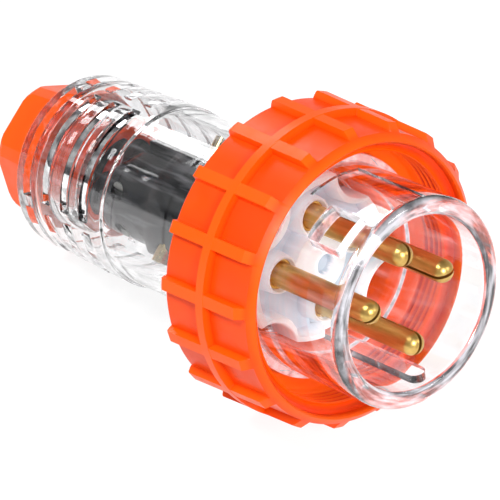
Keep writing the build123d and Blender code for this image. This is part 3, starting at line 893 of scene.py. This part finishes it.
class PLUG_OT_gland(bpy.types.Operator):
    """Gland nut: a threaded stem and a bevelled hexagonal head that narrows to the cable"""

    bl_idname = "plug.gland"
    bl_label = "Build gland nut"

    def execute(self, context):
        pitch = context.scene.plug_sizes.stem_pitch / MM
        stem = profile(np.arange(STEM_FRONT - 1.0, NUT_FRONT + 0.3, -pitch / 8), STEM_RADIUS)
        head_x = np.concatenate([
            np.linspace(NUT_FRONT, NUT_FRONT - NUT_BEVEL, 8),
            np.linspace(NUT_FRONT - NUT_BEVEL - 1, NUT_REAR + 3, 6),
            np.linspace(NUT_REAR + 2.4, NUT_REAR, 10)])
        head = profile(head_x, NUT_RADIUS - NUT_TAPER * ramp(NUT_FRONT - head_x, 0, NUT_FRONT - NUT_REAR))
        seat = STEM_FRONT - GROMMET_DEPTH
        inside = rounded(
            [(NUT_REAR, 13), (NUT_REAR, CABLE_RADIUS), (seat, CABLE_RADIUS), (seat, GROMMET_RADIUS),
             (STEM_FRONT, GROMMET_RADIUS), (STEM_FRONT, STEM_RADIUS - 0.4)], 0.4, closed=False)[1:]
        loop = np.vstack([tagged(stem, 1), tagged(head, 2), tagged(refined(inside, 2.0))])
        angles = edged_angles(NUT_TURN + even_angles(6), 1.25)

        def shape(x, r, tag, angle):
            """Stem: a fine thread, depth times a raised cosine. Head: the hexagon flat / cos(a - face), cut
            by the turned corners, by a cone in front and by a quarter circle at the rear."""
            thread = -STEM_THREAD * crest(x, angle, pitch)
            face = apart(angle - NUT_TURN - 30.0, 0.0)
            face = face - 60.0 * np.round(face / 60.0)
            flat = (r - NUT_RADIUS + NUT_FLAT) / np.cos(np.radians(face))
            rear = (x - NUT_REAR) / NUT_BEVEL
            dome = NUT_RADIUS - NUT_TAPER - NUT_BEVEL * (1 - np.sqrt(np.clip(rear * (2 - rear), 0, 1)))
            cone = NUT_RADIUS - NUT_BEVEL / 2 + (NUT_FRONT - x) * NUT_CONE_SLOPE
            cone = np.minimum(cone, np.where(rear < 1, dome, r))
            turned_off = np.minimum(np.minimum(flat, r), cone)
            return (tag == 1) * thread + (tag == 2) * (turned_off - r)

        nut = turned("nut_orange", loop, angles, shape, 12.0)
        # Painted shade: the nut is darker towards the axis, on its stem and in its bore, and lighter on its
        # head
        paint_light_and_shade(nut, lambda x, r, points: ramp(r, NUT_FLAT - 6, NUT_FLAT - 1))
        settle(nut, "gland", "orange_plastic", ["gland_nut"])
        return {"FINISHED"}


class PLUG_OT_pins(bpy.types.Operator):
    """Four split contact pins, turned from one outline and each cut by a saw slot"""

    bl_idname = "plug.pins"
    bl_label = "Build contact pins"

    def execute(self, context):
        nose = PIN_TIP - PIN_RADIUS
        t = np.linspace(0, pi / 2, 15)
        tip = profile(nose + PIN_RADIUS * np.sin(t), np.maximum(PIN_RADIUS * np.cos(t), NEAR_AXIS))
        bore_end = PIN_REAR + BARREL_DEPTH
        body = rounded(
            [(bore_end, NEAR_AXIS), (bore_end, BARREL_BORE), (PIN_REAR, BARREL_BORE),
             (PIN_REAR, BARREL_RADIUS), (BARREL_FRONT, BARREL_RADIUS), (BARREL_FRONT, PIN_COLLAR),
             (BOSS_FRONT - 1, PIN_COLLAR), (BOSS_FRONT - 1, PIN_RADIUS)], 0.25)[:-1]
        loop = tagged(np.vstack([body, tip]))
        outline = rectangle(PIN_TIP - PIN_SLOT_LENGTH, PIN_TIP + 1, PIN_SLOT_WIDTH / 2)
        reach = PIN_RADIUS + 1
        for number, (angle, slot_angle) in enumerate(zip(PIN_ANGLES, PIN_SLOT_ANGLES), start=1):
            pin = turned(f"contact_{number}", loop, even_angles(context.scene.plug_sizes.pin_sides))
            cutter = prism("slot_cutter", outline, -direction(slot_angle) * reach, slot_angle, 2 * reach)
            combine(pin, cutter, "DIFFERENCE")
            pin.data.transform(Matrix.Translation(Vector(direction(angle) * PIN_CIRCLE * MM)))
            settle(pin, "housing", "pin_brass", [f"pin_{number}"])
        return {"FINISHED"}


class PLUG_OT_carrier(bpy.types.Operator):
    """White pin carrier: bosses, a raised hub and pockets inside a lobed rim"""

    bl_idname = "plug.carrier"
    bl_label = "Build pin carrier"

    def execute(self, context):
        turn = even_angles(480)
        between = [(a + b) / 2 for a, b in zip(PIN_ANGLES, PIN_ANGLES[1:] + (PIN_ANGLES[0] + 360,))]
        limit = np.full(len(turn), CARRIER_RADIUS)
        centre = CARRIER_RADIUS + SCALLOP_RADIUS - SCALLOP_DEPTH
        for angle in between:
            gap = np.radians(apart(turn, angle))
            inner = SCALLOP_RADIUS ** 2 - (centre * np.sin(gap)) ** 2
            reach = centre * np.cos(gap) - np.sqrt(np.clip(inner, 0, None))
            limit = np.where((inner > 0) & (np.cos(gap) > 0), np.minimum(limit, reach), limit)
        off_key = apart(turn, KEY_ANGLE)
        notch = np.abs(CARRIER_RADIUS * np.sin(np.radians(off_key))) < KEY_WIDTH / 2 + 0.2
        limit = np.where(notch & (np.abs(off_key) < 30), CARRIER_RADIUS - KEY_HEIGHT, limit)
        share = np.concatenate([[0.001], np.linspace(0.04, 1.0, 110)])
        r = share[:, None] * limit[None, :]
        a = np.radians(turn)[None, :]
        y, z = r * np.cos(a), r * np.sin(a)
        to_edge = (1 - share)[:, None] * limit[None, :]
        centres = [PIN_CIRCLE * direction(angle) for angle in PIN_ANGLES]
        to_pin = np.minimum.reduce([np.hypot(y - c[1], z - c[2]) for c in centres])
        high = np.maximum.reduce([1 - soft(to_edge, CARRIER_RIM - 0.2, CARRIER_RIM + 0.3),
                                  1 - soft(to_pin, BOSS_RADIUS - 0.1, BOSS_RADIUS + 0.5),
                                  1 - soft(r, WEB_RADIUS - 0.2, WEB_RADIUS + 0.4)])
        x = POCKET_FLOOR + (BOSS_FRONT - POCKET_FLOOR) * high
        x = x + (HUB_FRONT - BOSS_FRONT) * (1 - soft(r, HUB_HOLE + 0.6, HUB_RADIUS))
        x = x - HUB_HOLE_DEPTH * (1 - soft(r, HUB_HOLE - 0.1, HUB_HOLE + 0.25))
        x = x - PIN_RECESS * (1 - soft(to_pin, PIN_COLLAR + 0.1, PIN_COLLAR + 0.35))
        x = x - CARRIER_EDGE * ramp(CARRIER_EDGE - to_edge, 0, CARRIER_EDGE)
        front = np.stack([x, y, z], -1)
        sides = [np.stack([np.full(len(turn), e), limit * np.cos(a[0]), limit * np.sin(a[0])], -1)
                 for e in (BOSS_FRONT - 0.8, -17.0, -20.0, CARRIER_REAR + 0.3)]
        back = np.linspace(0.985, 0.001, 12)[:, None, None] * sides[0]
        back[..., 0] = CARRIER_REAR
        points = np.concatenate([front, np.stack(sides), back])
        carrier = new_object("carrier_white", points.reshape(-1, 3), grid_faces(len(points), len(turn)), 35.0)
        # Painted shade: the pockets darken towards their floors and the hub hole is dark
        paint_light_and_shade(carrier, lambda x, r, points: ramp(x, POCKET_FLOOR - 1.2, BOSS_FRONT) * (r > HUB_HOLE + 0.05))
        settle(carrier, "housing", "white_plastic", ["pin_carrier"])
        return {"FINISHED"}


def half_shell(name, x, edge, facing, outer, inner):
    """Curved plate round the axis: at each x it reaches edge(x) to both sides of its facing, measured
    across. Its outside lies at radius outer and drops towards its edge by a quarter circle."""
    edge = np.asarray(edge)[:, None]
    s = np.sin(np.linspace(-pi / 2, pi / 2, 49))[None, :]
    width = edge * s
    inset = np.minimum(np.abs(edge) * (1 - np.abs(s)), PLATE_ROUND)
    drop = PLATE_ROUND - np.sqrt(np.clip(PLATE_ROUND ** 2 - (PLATE_ROUND - inset) ** 2, 0, None))
    outwards, beside = out_and_beside(facing)
    layers = []
    for radius in (outer - drop, inner + 0.3 * drop):
        lift = np.sqrt(radius ** 2 - np.minimum(np.abs(width), radius - 0.01) ** 2)
        layers.append(
            np.asarray(x)[:, None, None] * AXIS + lift[..., None] * outwards + width[..., None] * beside)
    points = np.concatenate([layers[0], layers[1][:, ::-1]], 1)
    rows, columns = points.shape[:2]
    faces = grid_faces(rows, columns, wrap_rows=False)
    index = np.arange(rows * columns).reshape(rows, columns)
    half = columns // 2
    caps = [np.stack([row[:half - 1], row[1:half], row[::-1][1:half], row[::-1][:half - 1]], -1)
            for row in (index[0], index[-1])]
    return new_object(name, points.reshape(-1, 3), np.vstack([faces] + caps))


class PLUG_OT_clamp(bpy.types.Operator):
    """Dark terminal block and the tongue-shaped saddle of the cord clamp"""

    bl_idname = "plug.clamp"
    bl_label = "Build terminal block and clamp"

    def execute(self, context):
        reach = SADDLE_HALF_WIDTH
        nose = SADDLE_REAR + reach * (1 - np.cos(np.linspace(0.06, pi / 2, 25)))
        x = np.concatenate([nose, np.linspace(nose[-1], SADDLE_FRONT - 0.4, 16)[1:], [SADDLE_FRONT - 0.12]])
        back = np.clip(SADDLE_REAR + reach - x, 0, None)
        edge = np.sqrt(reach ** 2 - back ** 2)
        saddle = half_shell("clamp_tongue", x, edge, SADDLE_FACING, SADDLE_OUTER - 0.02, SADDLE_INNER + 0.02)
        for shift in (-reach / 2, reach / 2):
            bored(saddle, SADDLE_REAR + CLAMP_SCREW_INSET, SADDLE_FACING, shift,
                  CLAMP_SCREW_RADIUS, CLAMP_SCREW_SEAT)
        settle(saddle, "housing", "dark_plastic", ["clamp_saddle"])
        turn = even_angles(144)
        flat = BLOCK_HALF / np.maximum(np.abs(np.cos(np.radians(turn - BLOCK_SIDE))), 0.01)
        limit = np.minimum(flat, BLOCK_RADIUS)
        # Rows from the front face to the rear face: place, and share of the outline. Four make a groove.
        rows = [(BLOCK_FRONT, 0.001), (BLOCK_FRONT, 0.97), (BLOCK_FRONT - 0.5, 1.0)]
        rows += [(BLOCK_REAR + up, share) for up, share in (
            (8.2, 1.0), (8.0, 0.975), (7.4, 0.975), (7.2, 1.0),
            (0.6, 1.0), (0.15, 0.985), (0, 0.95), (0, 0.001))]
        places, shares = np.array(rows).T[:, :, None]
        a = np.radians(turn)
        radius = shares * limit
        points = np.stack([places + 0 * a, radius * np.cos(a), radius * np.sin(a)], -1)
        block = new_object("block_dark", points.reshape(-1, 3), grid_faces(len(rows), len(turn)))
        for side in (BLOCK_SIDE, BLOCK_SIDE - 180):
            for angle in PIN_ANGLES:
                nearer = BLOCK_SIDE if 90 < angle <= 270 else BLOCK_SIDE - 180
                if nearer == side:
                    shift = PIN_CIRCLE * sin(radians(side - angle))
                    bored(block, TERMINAL_HOLE_X, side, shift, TERMINAL_HOLE_RADIUS, TERMINAL_HOLE_FLOOR)
        settle(block, "housing", "dark_plastic", ["terminal_block"])
        return {"FINISHED"}


def facing_away(spot, back):
    """Placing of a camera or light at a spot, with its back towards a direction."""
    return Matrix.Translation(spot) @ back.to_track_quat("Z", "Y").to_matrix().to_4x4()


def camera_frame():
    """Camera place and turn from its azimuth, elevation, roll and distance to the aim point."""
    azimuth, elevation = radians(CAMERA_AZIMUTH), radians(CAMERA_ELEVATION)
    towards = Vector((sin(azimuth) * cos(elevation), -cos(azimuth) * cos(elevation), sin(elevation)))
    spot = Vector(CAMERA_AIM) * MM + towards * CAMERA_DISTANCE * MM
    return facing_away(spot, towards) @ Matrix.Rotation(radians(CAMERA_ROLL), 4, "Z")


class PLUG_OT_stage(bpy.types.Operator):
    """Pale floor under the resting plug, a bright surround, soft lights and the photograph's camera"""

    bl_idname = "plug.stage"
    bl_label = "Set the stage"

    def execute(self, context):
        scene = context.scene
        data = bpy.data.cameras.new("camera")
        data.lens = CAMERA_LENS
        data.sensor_width = CAMERA_SENSOR
        data.clip_end = 20
        camera = linked("camera", data)
        camera.matrix_world = camera_frame()
        scene.camera = camera

        world = bpy.data.worlds.new("surround")
        world.use_nodes = True
        tree = world.node_tree
        place = tree.nodes.new("ShaderNodeTexCoord").outputs["Generated"]
        panels = spread(tree, noise(tree, place, 1.7, 1.0), 0.0, 1.0, 0.4, 0.52)
        colour = tint(tree, panels, (0.25, 0.255, 0.27), (1, 1, 1))
        feed(tree.nodes["Background"], {"Color": colour, "Strength": scene.plug_finishes.light})
        scene.world = world
        scene.view_settings.view_transform = "Standard"

        mesh = bpy.data.meshes.new("floor")
        corners = [(x, y, 0) for x, y in rectangle(-FLOOR_HALF * MM, FLOOR_HALF * MM, FLOOR_HALF * MM)]
        mesh.from_pydata(corners, [], [(0, 1, 2, 3)])
        floor = linked("floor", mesh)
        tree, shader, place = node_material("floor")
        grey = tint(tree, noise(tree, place, 3.0), (0.14, 0.14, 0.14), (0.16, 0.16, 0.16))
        feed(shader, {"Base Color": grey, "Roughness": 0.8, "Specular IOR Level": 0.1,
                      "Emission Color": (1, 1, 1, 1), "Emission Strength": 0.9})
        mesh.materials.append(FINISHES["floor"])
        tilt = atan2(RING_REST - GRIP_REAR_RADIUS, RING_REAR - HANDLE_REAR)
        touch = Vector((RING_REAR, 0, -(RING_REST + FLOOR_GAP))) * MM
        mesh.transform(Matrix.Translation(touch) @ Matrix.Rotation(tilt, 4, "Y"))

        for name, spot, size, power in LIGHTS:
            data = bpy.data.lights.new(name, "AREA")
            data.size = size * MM
            data.energy = power
            spot = Vector(spot) * MM
            linked(name, data).matrix_world = facing_away(spot, spot)
        return {"FINISHED"}


STEPS = (
    PLUG_OT_finishes, PLUG_OT_shroud, PLUG_OT_handle, PLUG_OT_ring, PLUG_OT_gland, PLUG_OT_pins,
    PLUG_OT_carrier, PLUG_OT_clamp, PLUG_OT_stage,
)


class PLUG_PT_build(bpy.types.Panel):
    """Lists the plug's sizes, finishes and building steps"""

    bl_label = "Industrial plug"
    bl_idname = "PLUG_PT_build"
    bl_space_type = "VIEW_3D"
    bl_region_type = "UI"
    bl_category = "Plug"

    def draw(self, context):
        layout = self.layout
        for group in (context.scene.plug_sizes, context.scene.plug_finishes):
            box = layout.box()
            for key in group.bl_rna.properties.keys():
                if key not in ("rna_type", "name"):
                    box.prop(group, key)
        for step in STEPS:
            layout.operator(step.bl_idname)


CLASSES = (PlugSizes, PlugFinishes) + STEPS + (PLUG_PT_build,)


def register():
    for item in CLASSES:
        bpy.utils.register_class(item)
    bpy.types.Scene.plug_sizes = PointerProperty(type=PlugSizes)
    bpy.types.Scene.plug_finishes = PointerProperty(type=PlugFinishes)


def unregister():
    del bpy.types.Scene.plug_finishes
    del bpy.types.Scene.plug_sizes
    for item in reversed(CLASSES):
        bpy.utils.unregister_class(item)


def main():
    register()
    bpy.ops.plug.finishes()
    bpy.ops.plug.shroud()
    bpy.ops.plug.handle()
    bpy.ops.plug.ring()
    bpy.ops.plug.gland()
    bpy.ops.plug.pins()
    bpy.ops.plug.carrier()
    bpy.ops.plug.clamp()
    bpy.ops.plug.stage()


if __name__ == "__main__":
    main()
